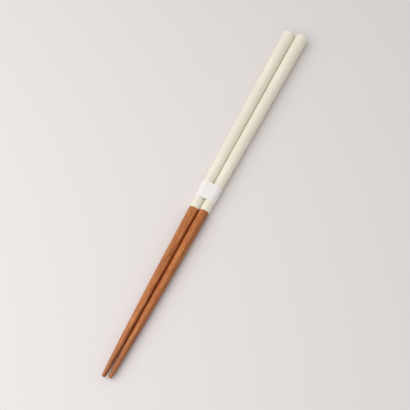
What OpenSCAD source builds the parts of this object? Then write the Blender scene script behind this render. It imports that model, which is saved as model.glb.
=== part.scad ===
// A pair of long cooking chopsticks, held together by a paper band.
// Each stick is turned from one piece of wood: bare wood at the tip, cream paint on the handle.
// The pair lies flat: X runs across it, +Y towards the handle ends, +Z up from the table.

/* [Stick] */
// Length of a stick
stick_len = 300; // [210:1:360]
// Length of the bare wood, from the tip to the paint line
bare_len = 130; // [80:1:180]
// Diameter at the tip, before its edge is rounded off
tip_d = 1.9; // [1.6:0.1:4]
// Radius of the rounded edge at the tip
tip_edge_r = 0.8; // [0.3:0.05:0.9]
// Diameter at the paint line
line_d = 7.3; // [6:0.1:8.8]
// Diameter at the handle end
butt_d = 10.1; // [9.2:0.1:13]
// How the bare wood tapers: 1 is a straight cone, and the lower, the sooner it thickens behind the tip
taper_power = 0.45; // [0.35:0.01:1]
// Radius of the rounded edge at the handle end
butt_edge_r = 2.2; // [0.4:0.1:3.5]

/* [Pair] */
// Clearance between the sticks where they come closest, at the paint line
line_gap = 0.06; // [0.04:0.01:0.4]
// Clearance between the sticks at the handle ends
butt_gap = 0.2; // [0.05:0.05:0.8]
// How far the right stick lies ahead, towards the handle ends
stagger = 1; // [0:0.1:3]

/* [Paper band] */
// Width of the band, along the sticks
band_w = 13; // [6:0.5:24]
// Painted length left showing between the paint line and the band
band_setback = 9; // [2:0.5:20]
// Thickness of the paper
paper_t = 0.15; // [0.1:0.01:0.3]
// Clearance between the paper and the sticks
paper_gap = 0.05; // [0.03:0.01:0.2]
// Length of the glued lap on the underside, where the band's ends meet
lap_len = 7; // [4:0.5:7]

/* [Hidden] */

wood_brown = [0.66, 0.40, 0.24];
handle_cream = [0.91, 0.87, 0.79];
paper_white = [0.95, 0.94, 0.92];
round_fn = 96;

// Stations along the bare wood, packed towards the tip, where the outline bends most
bare_steps = 16;
station_power = 2;
// Steps round the edge of the tip and of the handle end
tip_steps = 6;
edge_steps = 10;

// The handle's straight flank ends where its rounded edge begins
butt_l = stick_len - butt_edge_r;
flank_slope = (butt_d - line_d) / 2 / (butt_l - bare_len);

// Places of the band, measured along a stick from its tip
band_near = bare_len + band_setback;
band_far = band_near + band_w;
band_mid = (band_near + band_far) / 2;

// The axes spread from the tips to the handle ends, so that the handles lie side by side
spread_slope = (butt_d + butt_gap - line_d - line_gap) / 2 / (butt_l - bare_len);
spread_deg = atan(spread_slope);
tip_x = (line_d + line_gap) / 2 - bare_len * spread_slope;

// The pair lies on the band's lap and on the handle ends, so the tips stand a little clear
rest_z = 2 * paper_t + paper_gap;
rise_slope = (butt_d / 2 - handle_r(band_mid) - rest_z) / (butt_l - band_mid);
rise_deg = atan(rise_slope);
tip_z = butt_d / 2 - butt_l * rise_slope;
tip_y = -(stick_len + stagger) / 2;

// Room for both sticks inside the band, at its far edge, where they are thickest
loop_r = handle_r(band_far) + paper_gap;
loop_x = tip_x + band_far * spread_slope;
loop_z = 2 * paper_t + loop_r;

// Radius of the bare wood at l from the tip: it thickens fast at first, then ever straighter
function bare_r(l) = tip_d / 2 + (line_d - tip_d) / 2 * pow(l / bare_len, taper_power);

// Radius of the painted handle at l from the tip
function handle_r(l) = line_d / 2 + (l - bare_len) * flank_slope;

function bare_station(i) = tip_edge_r + (bare_len - tip_edge_r) * pow(i / bare_steps, station_power);

// The bare wood, turned to a long fine taper with a rounded tip
module bare_wood() {
    shoulder_r = bare_r(tip_edge_r);
    edge = [for (i = [0:tip_steps - 1])
        let (a = 90 * i / tip_steps)
        [shoulder_r - tip_edge_r * (1 - sin(a)), tip_edge_r * (1 - cos(a))]];
    flank = [for (i = [0:bare_steps]) [bare_r(bare_station(i)), bare_station(i)]];
    color(wood_brown)
        rotate_extrude($fn = round_fn)
            polygon(concat([[0, 0]], edge, flank, [[0, bare_len]]));
}

// The handle: a straight taper under the paint, with a rounded edge at its end
module painted_handle() {
    edge = [for (i = [0:edge_steps])
        let (a = 90 * i / edge_steps)
        [butt_d / 2 - butt_edge_r * (1 - cos(a)), butt_l + butt_edge_r * sin(a)]];
    color(handle_cream)
        rotate_extrude($fn = round_fn)
            polygon(concat([[0, bare_len], [line_d / 2, bare_len]], edge, [[0, stick_len]]));
}

// One stick in its place: side is -1 for the left one and 1 for the right one
module chopstick(side, ahead) {
    translate([side * tip_x, tip_y + ahead, tip_z])
        rotate([rise_deg, 0, -side * spread_deg])
            rotate([-90, 0, 0])
                union() {
                    bare_wood();
                    painted_handle();
                }
}

module left_chopstick() {
    chopstick(-1, 0);
}

module right_chopstick() {
    chopstick(1, stagger);
}

// Outline round two equal circles that lie side by side
module loop_outline(r) {
    for (side = [-1, 1])
        translate([side * loop_x, 0])
            circle(r = r, $fn = round_fn);
    square([2 * loop_x, 2 * r], center = true);
}

// A strip of paper wrapped round both sticks, its ends glued over each other underneath
module paper_band() {
    color(paper_white)
        translate([0, tip_y + band_far, 0])
            rotate([90, 0, 0])
                linear_extrude(height = band_w)
                    union() {
                        translate([0, loop_z])
                            difference() {
                                loop_outline(loop_r + paper_t);
                                loop_outline(loop_r);
                            }
                        translate([-lap_len / 2, 0])
                            square([lap_len, 1.5 * paper_t]);
                    }
}

left_chopstick();
right_chopstick();
paper_band();
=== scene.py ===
# A pair of long cooking chopsticks, lying side by side in a paper band.
# The wood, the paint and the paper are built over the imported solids, in metres.

import math

import bpy
from mathutils import Matrix, Vector


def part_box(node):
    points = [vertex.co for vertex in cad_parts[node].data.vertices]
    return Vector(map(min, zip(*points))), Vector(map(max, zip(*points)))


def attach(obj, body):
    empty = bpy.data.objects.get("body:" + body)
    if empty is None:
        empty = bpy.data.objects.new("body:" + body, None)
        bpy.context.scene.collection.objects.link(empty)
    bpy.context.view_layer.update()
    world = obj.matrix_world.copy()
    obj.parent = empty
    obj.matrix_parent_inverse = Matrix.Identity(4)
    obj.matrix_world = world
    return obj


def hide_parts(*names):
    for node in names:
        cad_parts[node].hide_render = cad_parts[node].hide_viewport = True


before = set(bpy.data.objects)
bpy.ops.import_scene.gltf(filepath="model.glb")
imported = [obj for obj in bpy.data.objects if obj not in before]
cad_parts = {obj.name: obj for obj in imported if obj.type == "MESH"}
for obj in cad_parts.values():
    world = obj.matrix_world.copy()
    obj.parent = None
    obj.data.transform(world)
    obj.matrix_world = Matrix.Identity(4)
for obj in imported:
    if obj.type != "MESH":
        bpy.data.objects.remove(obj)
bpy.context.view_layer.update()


# Bare wood of the sticks.
# Each stick is turned from one length of straight-grained reddish brown wood, sanded and oiled.
# The wood runs on under the paint to the handle end, so the stick stays one piece.

MM = 0.001
BARE_LEN = 130 * MM
TIP_R = 0.95 * MM
TIP_EDGE_R = 0.8 * MM
LINE_R = 3.65 * MM
BUTT_R = 5.05 * MM
BUTT_EDGE_R = 2.2 * MM
TAPER_POWER = 0.45

# The wood lies a coat's depth lower under the paint, and sinks to it over the last of the bare length
PAINT_T = 0.06 * MM
SINK_LEN = 20 * MM

# Wood never stays quite straight. Each tip leans this far towards the other one, and the lean dies
# out over about this length. The handles lean a little too, and lie together at their ends.
TIP_LEAN = 0.48 * MM
LEAN_LEN = 54 * MM
HANDLE_LEAN = 0.075 * MM

# Steps round a stick, round the edge of its tip, along the bare wood, and along the wood out of
# sight. The power packs the bare wood's steps towards the tip, where the outline bends most.
SIDES = 96
TIP_STEPS = 8
BARE_STEPS = 80
COVERED_STEPS = 40
STATION_POWER = 1.8

# Steps round the edge of the handle end. Its flat is crowned by this much, and has rings at these
# shares of its radius.
BUTT_STEPS = 12
CROWN = 0.12 * MM
CROWN_RINGS = 0.8, 0.55, 0.3, 0

# How far from its ends a packed stick is searched for the tip's flat and the handle's widest ring
TIP_REACH = 0.05 * MM
BUTT_REACH = BUTT_EDGE_R + 0.2 * MM

# A turned surface is also laid out flat, in strips with a margin. What is out of sight is drawn
# together there to this share of its length.
STRIPS = 2
STRIP_MARGIN = 0.03
HIDDEN_SHARE = 0.1

# An edge that turns further than this is shaded as a sharp one
SHARP_ANGLE = math.radians(50)


def middle(points):
    """Middle of the box round some points."""
    return Vector([(min(p[i] for p in points) + max(p[i] for p in points)) / 2 for i in range(3)])


def stick_axis(node):
    """The middle of a stick's tip, its direction, and its length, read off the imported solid."""
    points = [v.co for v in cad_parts[node].data.vertices]
    low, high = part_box(node)
    tip = middle([p for p in points if p.y < low.y + TIP_REACH])
    end = middle([p for p in points if p.y > high.y - BUTT_REACH])
    end.y = high.y - BUTT_EDGE_R
    along = (end - tip).normalized()
    return tip, along, (high.y - low.y) / along.y


def stick_frame(along):
    """The directions across a stick and up from it."""
    across = Vector((1, 0, 0))
    across = (across - along * across.dot(along)).normalized()
    return across, across.cross(along)


def handle_r(length, at):
    """Radius of the handle's straight taper, over the paint."""
    share = (at - BARE_LEN) / (length - BUTT_EDGE_R - BARE_LEN)
    return LINE_R + (BUTT_R - LINE_R) * share


def wood_r(length, at):
    """Radius of the wood: it thickens fast at first, then ever slower, and evenly under the paint."""
    sunk = PAINT_T * min(1, max(0, (at - BARE_LEN + SINK_LEN) / SINK_LEN))
    if at > BARE_LEN:
        return handle_r(length, at) - sunk
    return TIP_R + (LINE_R - TIP_R) * (at / BARE_LEN) ** TAPER_POWER - sunk


def quarter_turn(steps):
    """Angles from nothing to a right angle, in even steps."""
    return [math.radians(90) * i / steps for i in range(steps + 1)]


def rounded_end(length, radius):
    """Outline of a handle end, from its straight flank over the rounded edge to the axis."""
    edge = [
        (
            length - BUTT_EDGE_R + (BUTT_EDGE_R - CROWN) * math.sin(a),
            radius - BUTT_EDGE_R * (1 - math.cos(a)),
        )
        for a in quarter_turn(BUTT_STEPS)[1:]
    ]
    flat_r = edge[-1][1]
    return edge + [(length - CROWN * share**2, flat_r * share) for share in CROWN_RINGS]


def wood_outline(length):
    """The rounded tip, stations packed towards it, even ones under the paint, and the handle end.

    Gives the outline, and how many of its points are in sight.
    """
    shoulder_r = wood_r(length, TIP_EDGE_R)
    edge = [
        (TIP_EDGE_R * (1 - math.cos(a)), shoulder_r - TIP_EDGE_R * (1 - math.sin(a)))
        for a in quarter_turn(TIP_STEPS)[:-1]
    ]
    bare_len = BARE_LEN - TIP_EDGE_R
    bare = [TIP_EDGE_R + bare_len * (i / BARE_STEPS) ** STATION_POWER for i in range(BARE_STEPS + 1)]
    covered_len = length - BUTT_EDGE_R - BARE_LEN
    covered = [BARE_LEN + covered_len * i / COVERED_STEPS for i in range(1, COVERED_STEPS + 1)]
    in_sight = [(0, 0)] + edge + [(at, wood_r(length, at)) for at in bare]
    out_of_sight = [(at, wood_r(length, at)) for at in covered]
    out_of_sight += rounded_end(length - PAINT_T, BUTT_R - PAINT_T)
    return in_sight + out_of_sight, len(in_sight)


def added(name, data):
    """A new object in the scene: a mesh, a lamp or a camera."""
    thing = bpy.data.objects.new(name, data)
    bpy.context.scene.collection.objects.link(thing)
    return thing


def solid_piece(name, points, faces, layout):
    """A smooth mesh object with sharp edges kept, and with its surface laid out flat."""
    mesh = bpy.data.meshes.new(name)
    mesh.from_pydata(points, [], faces)
    flat = mesh.uv_layers.new(name="OFBake")
    for loop, spot in zip(flat.data, layout):
        loop.uv = spot
    mesh.polygons.foreach_set("use_smooth", [True] * len(mesh.polygons))
    mesh.set_sharp_from_angle(angle=SHARP_ANGLE)
    mesh.validate()
    return added(name, mesh)


def turned(name, node, outline, shown, wander=None):
    """A turned solid on a stick's axis. The outline is (distance from the tip, radius) pairs.

    The points of the outline from the number shown on are out of sight. Wander, where it is
    given, says how far a point strays along the stick.
    """
    tip, along, length = stick_axis(node)
    across, up = stick_frame(along)
    inward = -across if tip.x > 0 else across
    points, rings = [], []
    for at, radius in outline:
        lean = TIP_LEAN * math.exp(-((at / LEAN_LEN) ** 2))
        lean += HANDLE_LEAN * max(0, at - BARE_LEN) / (length - BARE_LEN)
        centre = tip + inward * lean
        ring = []
        for k in range(SIDES if radius > 0 else 1):
            angle = 2 * math.pi * k / SIDES
            out = across * math.cos(angle) + up * math.sin(angle)
            shift = wander(at, angle) if wander else 0
            ring.append(len(points))
            points.append(centre + along * (at + shift) + out * radius)
        rings.append(ring)
    run = [0]
    for i, (a, b) in enumerate(zip(outline, outline[1:]), 1):
        run.append(run[-1] + math.dist(a, b) * (1 if i < shown else HIDDEN_SHARE))
    strip_len = run[-1] / STRIPS
    room = 1 - 2 * STRIP_MARGIN
    faces, layout = [], []
    for i in range(len(rings) - 1):
        strip = min(STRIPS - 1, int((run[i] + run[i + 1]) / 2 / strip_len))
        for k in range(SIDES):
            face = []
            for ring, turn in ((i, k), (i + 1, k), (i + 1, k + 1), (i, k + 1)):
                point = rings[ring][turn % len(rings[ring])]
                if point in face:
                    continue
                face.append(point)
                u = (strip + STRIP_MARGIN + room * turn / SIDES) / STRIPS
                v = STRIP_MARGIN + room * (run[ring] - strip * strip_len) / strip_len
                layout.append((u, v))
            faces.append(face)
    return solid_piece(name, points, faces, layout)


def linear(red, green, blue):
    """A colour as the eye reads it, 0 to 255, as the shader wants it."""
    return tuple(
        c / 12.92 if c <= 0.04045 else ((c + 0.055) / 1.055) ** 2.4
        for c in (red / 255, green / 255, blue / 255)
    ) + (1,)


def grey(level):
    """A grey that carries a level through a ramp."""
    return (level, level, level, 1)


class Shades:
    """A material's node tree, with one short call for each kind of node."""

    def __init__(self, name):
        self.material = bpy.data.materials.new(name)
        self.material.use_nodes = True
        self.tree = self.material.node_tree
        self.shader = self.tree.nodes["Principled BSDF"]
        self.place = self.tree.nodes.new("ShaderNodeTexCoord").outputs["Object"]

    def set(self, **values):
        """Sets the shader's own sockets, with _ for each space in their names."""
        for name, value in values.items():
            self.shader.inputs[name.replace("_", " ")].default_value = value

    def link(self, out, into):
        """Links a socket to one of the shader's own."""
        self.tree.links.new(out, self.shader.inputs[into])

    def fill(self, socket, value):
        """Links a socket to another one, or sets it to a value."""
        if isinstance(value, bpy.types.NodeSocket):
            self.tree.links.new(value, socket)
        else:
            socket.default_value = value

    def node(self, kind, inputs, **settings):
        """A new node of a kind, with its settings made and its inputs filled."""
        made = self.tree.nodes.new("ShaderNode" + kind)
        for name, value in settings.items():
            setattr(made, name, value)
        for name, value in inputs.items():
            self.fill(made.inputs[name], value)
        return made

    def stand_on(self, node):
        """Counts places from a stick's tip: X across the stick, Y along it and Z up."""
        tip, along, length = stick_axis(node)
        across, up = stick_frame(along)
        turn = Matrix((across, along, up)).transposed().to_euler()
        inputs = {"Vector": self.place, "Location": tip, "Rotation": turn}
        self.place = self.node("Mapping", inputs, vector_type="TEXTURE").outputs[0]

    def stretched(self, size, turn=(0, 0, 0), start=(0, 0, 0)):
        """Places turned from a start, and counted in lengths of the given size along each axis."""
        inputs = {"Vector": self.place, "Location": start, "Rotation": turn, "Scale": size}
        return self.node("Mapping", inputs, vector_type="TEXTURE").outputs[0]

    def axis_of(self, place, axis):
        """How far along one axis a place lies."""
        return self.node("SeparateXYZ", {"Vector": place}).outputs[axis]

    def grain(self, size, detail=2.0, roughness=0.5, **place):
        """Noise between 0 and 1 whose blotches have the given size, in millimetres."""
        inputs = {
            "Vector": self.stretched([side * MM for side in size], **place),
            "Scale": 1.0,
            "Detail": detail,
            "Roughness": roughness,
        }
        return self.node("TexNoise", inputs).outputs["Fac"]

    def ramp(self, value, *stops):
        """Colours set along a value, each stop a place and a colour."""
        made = self.node("ValToRGB", {"Fac": value})
        elements = made.color_ramp.elements
        while len(elements) < len(stops):
            elements.new(0.5)
        for element, (at, colour) in zip(elements, stops):
            element.position = at
            element.color = colour
        return made.outputs["Color"]

    def step(self, value, low, high, to_low=0.0, to_high=1.0):
        """The value carried from one range to another, and kept inside it."""
        inputs = {"Value": value, "From Min": low, "From Max": high, "To Min": to_low, "To Max": to_high}
        return self.node("MapRange", inputs).outputs["Result"]

    def sum_of(self, value, weight, rest):
        """A value times its weight, added to the rest."""
        made = self.node("Math", {}, operation="MULTIPLY_ADD")
        for socket, term in zip(made.inputs, (value, weight, rest)):
            self.fill(socket, term)
        return made.outputs[0]

    def blend(self, *shares):
        """Some values round one half, each carried with its weight into one value round one half."""
        total = 0.5 - sum(weight for value, weight in shares) / 2
        for value, weight in shares:
            total = self.sum_of(value, weight, total)
        return total

    def mix(self, factor, a, b):
        """A colour between a, where the factor is 0, and b, where it is 1."""
        made = self.node("Mix", {}, data_type="RGBA")
        for name, value in (("Factor_Float", factor), ("A_Color", a), ("B_Color", b)):
            self.fill(next(s for s in made.inputs if s.identifier == name), value)
        return next(s for s in made.outputs if s.identifier == "Result_Color")

    def relief(self, height, depth, normal=None):
        """Bump of the given depth in metres, on top of any earlier one."""
        inputs = {"Height": height, "Distance": depth, "Strength": 1.0}
        if normal is not None:
            inputs["Normal"] = normal
        return self.node("Bump", inputs).outputs["Normal"]


# The growth layers stand this far off upright. They sway across the stick by this much, and are
# given as far as this to each side of its middle.
LAYER_TILT = math.radians(14)
LAYER_SWAY = 2.4 * MM
LAYER_REACH = 5 * MM

# Colours from the darkest grain and painted shade to the palest, where the wood is golden and where it
# is reddish, then the colour of the painted shade at the tip and of the pores
TONES = 0.28, 0.40, 0.50, 0.60, 0.72
GOLDEN = (94, 42, 12), (141, 76, 29), (172, 101, 44), (201, 132, 68), (228, 164, 98)
REDDISH = (88, 32, 12), (136, 63, 30), (167, 87, 43), (194, 113, 63), (222, 146, 93)
TIP_SHADE_BROWN = 140, 78, 52
PORE_BROWN = 84, 36, 14

# Painted shade darkens and dulls the wood towards the tip: at the tip by this share, and less and less
# up to this far from it
TIP_SHADE_SHARE = 0.45
TIP_SHADE_LEN = 55 * MM


def oiled_wood(name, node, layers_and_shade, slope, start):
    """Straight grain with painted shade: yearly rings lying on edge, streaks, flecks, fine fibres, and
    dark pores, with painted shade on the right of each stick and towards its tip.

    The tones across come as (millimetres across the stick, tone) pairs, from the left to the right; the
    darker tones at each stick's right are painted shade. Along the stick they drift off to the right by
    the slope.
    """
    wood = Shades(name)
    wood.stand_on(node)

    # The layering of the grain, with painted shade in the darker tones on the stick's right, laid out
    # across the stick from its middle half way along the bare wood
    tilt = (0, LAYER_TILT, -slope)
    sway = wood.grain((5, 38, 9), detail=1, start=start)
    layered = wood.stretched((1, 1, 1), turn=tilt, start=(0, BARE_LEN / 2, 0))
    swaying = wood.sum_of(sway, LAYER_SWAY, wood.axis_of(layered, "X"))
    place = wood.step(swaying, LAYER_SWAY / 2 - LAYER_REACH, LAYER_SWAY / 2 + LAYER_REACH)
    growth_and_shade = wood.ramp(place, *[(0.5 + at * MM / (2 * LAYER_REACH), grey(tone)) for at, tone in layers_and_shade])

    # What lies in and over the layers, from the broadest marks to the finest
    rings = wood.grain((0.8, 48, 3.5), turn=tilt, start=start)
    streaks = wood.grain((0.8, 12, 0.8), roughness=0.6, start=start)
    flecks = wood.grain((0.7, 3.4, 0.7), detail=1, start=start)
    fibres = wood.grain((0.13, 6, 0.13), detail=3, roughness=0.6, start=start)
    pores = wood.grain((0.10, 1.7, 0.10), detail=1, start=start)
    tone = wood.blend((growth_and_shade, 0.34), (rings, 0.30), (streaks, 0.36), (flecks, 0.26), (fibres, 0.10))

    # The tone as a colour, reddish in places, darkened towards the tip by painted shade, and dark in the
    # pores
    blush = wood.grain((1.8, 14, 1.8), start=start)
    golden, reddish = (
        wood.ramp(tone, *[(at, linear(*colour)) for at, colour in zip(TONES, colours)])
        for colours in (GOLDEN, REDDISH)
    )
    body = wood.mix(wood.step(blush, 0.40, 0.60), golden, reddish)
    tip_shade = wood.step(wood.axis_of(wood.place, "Y"), 0, TIP_SHADE_LEN, TIP_SHADE_SHARE, 0)
    tip_shaded = wood.mix(tip_shade, body, linear(*TIP_SHADE_BROWN))
    pored = wood.mix(wood.step(pores, 0.60, 0.70, 0, 0.5), tip_shaded, linear(*PORE_BROWN))
    wood.link(pored, "Base Color")

    # The oil's sheen, a little uneven over raised fibres and sunken pores
    wood.link(wood.step(fibres, 0.3, 0.7, 0.54, 0.42), "Roughness")
    fibrous = wood.relief(fibres, 0.02 * MM)
    wood.link(wood.relief(wood.step(pores, 0.58, 0.72, 1, 0), 0.02 * MM, fibrous), "Normal")
    wood.set(IOR=1.8, Specular_IOR_Level=0.8, Specular_Tint=(1, 0.60, 0.35, 1))
    return wood.material


# Each stick's own grain layering (its darker tones at the stick's right are painted shade), their slope,
# and where its marks start, so that no two are alike
LEFT_LAYERS_AND_SHADE = (
    (-4, 0.46), (-2.6, 0.48), (-1.4, 0.42), (-0.2, 0.60), (0.8, 0.60), (1.6, 0.28), (2.4, 0.04),
)
RIGHT_LAYERS_AND_SHADE = (
    (-4, 0.52), (-2.0, 0.60), (-0.8, 0.55), (0.1, 0.48), (0.8, 0.32), (1.8, 0.25), (3.2, 0.25),
)
for side, layers_and_shade, slope, start in (
    ("left", LEFT_LAYERS_AND_SHADE, 0.018, (0.031, 0.110, 0.007)),
    ("right", RIGHT_LAYERS_AND_SHADE, 0.006, (0.083, 0.270, 0.052)),
):
    node = side + "_chopstick"
    outline, shown = wood_outline(stick_axis(node)[2])
    stick = turned(side + "_stick", node, outline, shown)
    stick.data.materials.append(oiled_wood(side + "_oiled_wood", node, layers_and_shade, slope, start))
    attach(stick, "root")
    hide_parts(node)


# Cream paint on the handles.
# A satin coat over the upper part of each stick, masked at the paint line, where its edge stands
# a hair proud of the wood.

# The bead at the coat's edge: its length, how far it stands over the coat, and the steps round it
BEAD_LEN = 0.12 * MM
BEAD_RISE = 0.01 * MM
BEAD_STEPS = 5

# Steps along the handle
FLANK_STEPS = 60

# The paint's edge strays this far from a true circle, and the stray dies out over this length
EDGE_STRAY = 0.05 * MM
STRAY_LEN = 1 * MM


def paint_outline(length):
    """The coat's outer side up to the handle end, and back along the wood to its edge.

    Gives the outline, and how many of its points are in sight.
    """
    edge = [
        (
            BARE_LEN + BEAD_LEN * (1 - math.cos(a)),
            wood_r(length, BARE_LEN) + (PAINT_T + BEAD_RISE) * math.sin(a),
        )
        for a in quarter_turn(BEAD_STEPS)
    ]
    flank_start = BARE_LEN + STRAY_LEN
    flank_len = length - BUTT_EDGE_R - flank_start
    flank = [flank_start + flank_len * i / FLANK_STEPS for i in range(FLANK_STEPS + 1)]
    outer = edge + [(at, handle_r(length, at)) for at in flank] + rounded_end(length, BUTT_R)
    inner = rounded_end(length - PAINT_T, BUTT_R - PAINT_T)[::-1]
    inner += [(at, wood_r(length, at)) for at in reversed(flank)]
    return outer + inner + edge[:1], len(outer)


def masked_edge(at, angle):
    """How the paint's edge strays from a true circle, fading out up the handle."""
    stray = math.sin(2 * angle + 1) + 0.5 * math.sin(5 * angle) + 0.3 * math.sin(11 * angle + 2)
    return EDGE_STRAY * stray * max(0, 1 - (at - BARE_LEN) / STRAY_LEN)


def satin_paint(name, node):
    """Warm cream with a faint mottle, a little orange peel and the wood's fibres showing through."""
    paint = Shades(name)
    paint.stand_on(node)
    mottle = paint.grain((6, 26, 6))
    specks = paint.grain((0.9, 2.6, 0.9))
    peel = paint.grain((0.8, 1.1, 0.8), detail=1)
    fibres = paint.grain((0.35, 12, 0.35))
    tone = paint.blend((mottle, 0.5), (specks, 0.3), (fibres, 0.2))
    body = paint.ramp(tone, (0.32, linear(229, 221, 203)), (0.68, linear(239, 233, 217)))
    paint.link(body, "Base Color")
    paint.link(paint.step(mottle, 0.3, 0.7, 0.42, 0.36), "Roughness")
    peeled = paint.relief(peel, 0.006 * MM)
    paint.link(paint.relief(fibres, 0.005 * MM, peeled), "Normal")
    paint.set(Specular_IOR_Level=0.4)
    return paint.material


for side in ("left", "right"):
    node = side + "_chopstick"
    outline, shown = paint_outline(stick_axis(node)[2])
    coat = turned(side + "_handle_paint", node, outline, shown, wander=masked_edge)
    coat.data.materials.append(satin_paint(side + "_cream_paint", node))
    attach(coat, "root")
    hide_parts(node)


# Paper band.
# One strip of plain white paper drawn snug round both sticks, flat where it bridges them, with
# its ends glued over each other on the underside.

PAPER_T = 0.15 * MM
PAPER_GAP = 0.05 * MM
BRIDGE_SAG = 0.08 * MM

# The lap's length, and the places along it of the inner end's points and of the outer end's,
# each as a share of half the lap, from the right to the left
LAP_LEN = 7 * MM
INNER_LAP = 0.86, 0.4, 0, -0.4, -0.86
OUTER_LAP = 0.9, 0.5, 0, -0.5, -1

# The strip is drawn tight over the first share of its width. From there on it stands off the left
# stick more and more, and by this much at its upper corner.
SLACK = 0.7 * MM
SLACK_POWER = 1.5
TIGHT_SHARE = 0.2

# How far the cut edges stray from a straight line
CUT_STRAY = 0.03 * MM

# Steps round each stick, over the bridge between them, and across the strip
ARC_STEPS = 32
BRIDGE_STEPS = 8
ROWS = 16

# The flat layout's margin at each end of the strip, and the width that it gives to a cut end
END_MARGIN = 0.02
CUT_WIDTH = 0.015


def band_path(y, share):
    """The strip's middle line at y: from its inner end, round both sticks, to its outer end.

    It is a list of (x, z) places. The share says how far across the strip's width y lies.
    """
    circles = []
    for node in ("left_chopstick", "right_chopstick"):
        tip, along, length = stick_axis(node)
        at = (y - tip.y) / along.y
        centre = tip + along * at
        circles.append((centre.x, centre.z, handle_r(length, at) + PAPER_GAP + PAPER_T / 2))
    (left_x, left_z, left_r), (right_x, right_z, right_r) = circles
    loose = SLACK * max(0, (share - TIGHT_SHARE) / (1 - TIGHT_SHARE)) ** SLACK_POWER
    half_turn = [math.pi * i / ARC_STEPS for i in range(ARC_STEPS + 1)]
    path = [(x * LAP_LEN / 2, left_z - left_r) for x in INNER_LAP]
    for angle in half_turn:
        radius = left_r + loose * math.sin(angle) ** 3
        path.append((left_x - radius * math.sin(angle), left_z - radius * math.cos(angle)))
    for i in range(1, BRIDGE_STEPS):
        over = i / BRIDGE_STEPS
        sag = BRIDGE_SAG * (1 - math.cos(2 * math.pi * over)) / 2
        top = (left_z + left_r) * (1 - over) + (right_z + right_r) * over
        path.append((left_x + (right_x - left_x) * over, top - sag))
    for angle in half_turn:
        radius = right_r + PAPER_T * max(0, 2 * angle / math.pi - 1)
        path.append((right_x + radius * math.sin(angle), right_z + radius * math.cos(angle)))
    lap_z = path[-1][1]
    return path + [(x * LAP_LEN / 2, lap_z) for x in OUTER_LAP]


def paper_strip(name):
    """The strip as one thin closed solid, with edges as true as scissors leave them."""
    low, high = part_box("paper_band")
    rows = []
    for j in range(ROWS + 1):
        share = j / ROWS
        y = low.y + (high.y - low.y) * share
        path = band_path(y, share)
        row = []
        for i, (x, z) in enumerate(path):
            before, after = path[max(0, i - 1)], path[min(len(path) - 1, i + 1)]
            way = Vector((after[0] - before[0], 0, after[1] - before[1])).normalized()
            out = Vector((-way.z, 0, way.x))
            stray = (math.sin(0.31 * i) + 0.6 * math.sin(0.83 * i + 1)) * (2 * share - 1)
            spot = Vector((x, y + CUT_STRAY * stray, z))
            row.append((spot + out * PAPER_T / 2, spot - out * PAPER_T / 2))
        rows.append(row)

    # At each step of the path one ring of points goes up the outer face and back down the inner one
    steps = len(rows[0])
    ring = [(j, 0) for j in range(ROWS + 1)] + [(j, 1) for j in range(ROWS, -1, -1)]
    size = len(ring)
    points = [rows[j][i][face] for i in range(steps) for j, face in ring]
    room = 1 - 2 * END_MARGIN
    faces, layout = [], []
    for i in range(steps - 1):
        for r in range(size):
            corners = ((i, r), (i + 1, r), (i + 1, r + 1), (i, r + 1))
            faces.append([a * size + b % size for a, b in corners])
            layout += [(END_MARGIN + room * a / (steps - 1), b / size) for a, b in corners]

    # The two cut ends
    for i, u in ((0, 0), (steps - 1, 1 - CUT_WIDTH)):
        for j in range(ROWS):
            far = u + CUT_WIDTH
            corners = [(j, u), (j + 1, u), (size - 2 - j, far), (size - 1 - j, far)]
            if i > 0:
                corners.reverse()
            faces.append([i * size + r for r, across in corners])
            layout += [(across, min(r, size - 1 - r) / size) for r, across in corners]
    return solid_piece(name, points, faces, layout)


def plain_paper():
    """White uncoated paper: a soft fibrous surface, faintly cloudy."""
    paper = Shades("white_paper")
    clouds = paper.grain((1.8, 1.8, 1.8), detail=3)
    creases = paper.grain((3.5, 2.2, 3.5))
    fibres = paper.grain((0.10, 0.45, 0.10), detail=3)
    tone = paper.blend((clouds, 0.7), (fibres, 0.3))
    body = paper.ramp(tone, (0.3, linear(233, 228, 225)), (0.7, linear(240, 235, 231)))
    paper.link(body, "Base Color")
    creased = paper.relief(creases, 0.12 * MM)
    paper.link(paper.relief(fibres, 0.012 * MM, creased), "Normal")
    paper.set(Roughness=0.8, Specular_IOR_Level=0.3)
    return paper.material


band = paper_strip("band")
band.data.materials.append(plain_paper())
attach(band, "root")
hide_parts("paper_band")


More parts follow.
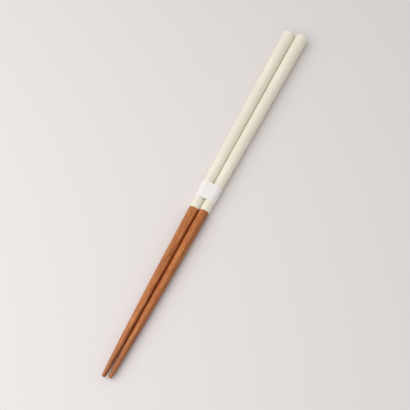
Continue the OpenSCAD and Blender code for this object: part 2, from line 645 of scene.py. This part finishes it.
# Table.
# A plain pale surface under the pair, with a low sheen, so wide that its end looks like the horizon.
# It isn't part of the object.

FLOOR_SIZE = 40.0
bpy.ops.mesh.primitive_plane_add(size=FLOOR_SIZE, location=(0, 0, 0))
floor = bpy.context.object
floor.name = "floor"
matt = Shades("pale_floor")
matt.set(Base_Color=linear(226, 220, 218), Roughness=0.6, Specular_IOR_Level=0.5)
floor.data.materials.append(matt.material)


# Light.
# One broad soft lamp from the left of the tips, and an even white room all round.

KEY_DISTANCE = 0.8
KEY_SIZE = 1.12
KEY_POWER = 4.99
KEY_TURN = math.radians(-48)
KEY_HEIGHT = math.radians(51)
ROOM_LIGHT = 0.60


def way_to(turn, height):
    """The way from the pair to a place turned to the right from the tips' side, and raised."""
    flat = math.cos(height)
    return Vector((math.sin(turn) * flat, -math.cos(turn) * flat, math.sin(height)))


def aim(thing, place, target):
    """Puts a lamp or the camera at a place and turns it to a target."""
    thing.location = place
    thing.rotation_euler = (Vector(target) - Vector(place)).to_track_quat("-Z", "Y").to_euler()


lamp = bpy.data.lights.new("key", "AREA")
lamp.shape = "DISK"
lamp.size = KEY_SIZE
lamp.energy = KEY_POWER
aim(added("key", lamp), way_to(KEY_TURN, KEY_HEIGHT) * KEY_DISTANCE, (0, 0, 0))

room = bpy.data.worlds.new("room")
room.use_nodes = True
air = room.node_tree.nodes["Background"].inputs
air["Color"].default_value = linear(255, 255, 255)
air["Strength"].default_value = ROOM_LIGHT
bpy.context.scene.world = room
bpy.context.scene.view_settings.view_transform = "Standard"


# Camera.
# It looks down on the pair from the tips' side, a little from the right.

CAMERA_TURN = math.radians(26.6)
CAMERA_HEIGHT = math.radians(64.6)
CAMERA_DISTANCE = 505.3 * MM
CAMERA_TARGET = Vector((1.0, -12.8, 0)) * MM

lens = bpy.data.cameras.new("camera")
lens.sensor_width = 36
lens.lens = 62.5
camera = added("camera", lens)
camera_place = CAMERA_TARGET + way_to(CAMERA_TURN, CAMERA_HEIGHT) * CAMERA_DISTANCE
aim(camera, camera_place, CAMERA_TARGET)
bpy.context.scene.camera = camera
